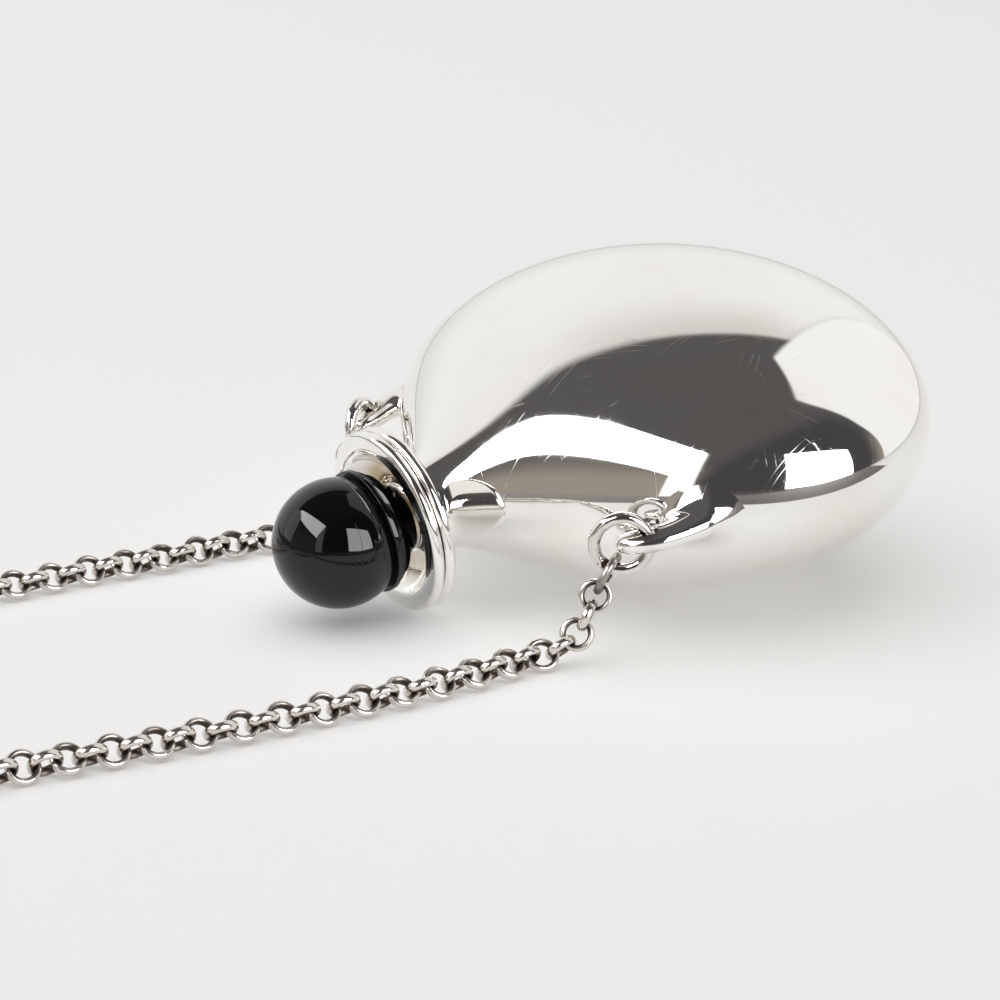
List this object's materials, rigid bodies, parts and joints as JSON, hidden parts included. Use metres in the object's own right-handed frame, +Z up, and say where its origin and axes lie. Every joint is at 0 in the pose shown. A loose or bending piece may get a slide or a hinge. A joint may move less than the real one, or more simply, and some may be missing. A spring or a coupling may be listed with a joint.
{
  "type": "pendant necklace",
  "caption": "Polished silver flask pendant with a round black onyx stopper, hung by jump rings from a round-link chain that closes with a spring-ring clasp.",
  "frame": {"origin": "on the table, under the middle of the flask and its stopper", "axes": "+X from the stopper towards the flask's rounded base, level; +Z up from the table; +Y across the flask, away from the near lug"},
  "size_m": [0.1152, 0.0773, 0.0239],
  "materials": {
    "silver": "hand-polished sterling silver with fine scratches and light tarnish",
    "chain_silver": "sterling silver chain, darker with tarnish where the links touch",
    "onyx": "polished black onyx",
    "seal": "soft black sleeve",
    "spring_steel": "thin spring wire"
  },
  "bodies": {
    "flask_and_chain": {"shell_upper": "silver", "shell_lower": "silver", "neck_tube": "silver", "mouth_lip": "silver", "near_lug": "silver", "far_lug": "silver", "near_link_1": "chain_silver", "near_link_2": "chain_silver", "near_link_3": "chain_silver", "near_link_4": "chain_silver", "near_link_5": "chain_silver", "near_chain": "chain_silver", "near_coil": "chain_silver", "far_link_1": "chain_silver", "far_link_2": "chain_silver", "far_link_3": "chain_silver", "far_link_4": "chain_silver", "far_link_5": "chain_silver", "far_chain": "chain_silver", "far_coil": "chain_silver", "clasp_case": "chain_silver", "clasp_spring": "spring_steel", "clasp_eye": "chain_silver", "clasp_link": "chain_silver", "end_link": "chain_silver", "end_ring": "chain_silver"},
    "stopper": {"stopper_ball": "onyx", "stopper_foot": "onyx", "stopper_peg": "silver", "stopper_plug": "silver", "stopper_seal": "seal"},
    "near_ring": {"near_jump_ring": "silver"},
    "far_ring": {"far_jump_ring": "silver"},
    "near_connector": {"near_connector_link": "chain_silver"},
    "far_connector": {"far_connector_link": "chain_silver"},
    "clasp_trigger": {"clasp_bolt": "chain_silver", "clasp_knob": "chain_silver"}
  },
  "joints": [
    {"name": "stopper_pull", "type": "slide", "parent": "flask_and_chain", "child": "stopper", "axis": [-0.9799, 0, -0.1994], "range_m": [0, 0.0053]},
    {"name": "near_ring_rock", "type": "hinge", "parent": "flask_and_chain", "child": "near_ring", "pos_m": [-0.00647, -0.01932, 0.00901], "axis": [-0.6208, 0.4785, -0.6211], "range_deg": [-14, 14]},
    {"name": "far_ring_rock", "type": "hinge", "parent": "flask_and_chain", "child": "far_ring", "pos_m": [-0.00647, 0.01932, 0.00901], "axis": [-0.6208, -0.4785, -0.6211], "range_deg": [-14, 14]},
    {"name": "near_connector_twist", "type": "hinge", "parent": "flask_and_chain", "child": "near_connector", "pos_m": [-0.00895, -0.01769, 0.00647], "axis": [-0.6499, -0.07, -0.7568], "range_deg": [-10, 10]},
    {"name": "far_connector_twist", "type": "hinge", "parent": "flask_and_chain", "child": "far_connector", "pos_m": [-0.00895, 0.01769, 0.00647], "axis": [-0.6499, 0.07, -0.7568], "range_deg": [-10, 10]},
    {"name": "clasp_trigger_slide", "type": "hinge", "parent": "flask_and_chain", "child": "clasp_trigger", "pos_m": [-0.07068, -0.00007, 0.00095], "axis": [0, 0, 1], "range_deg": [0, 56], "stiffness_Nm_per_rad": 0.002, "springref_deg": -8.59}
  ]
}
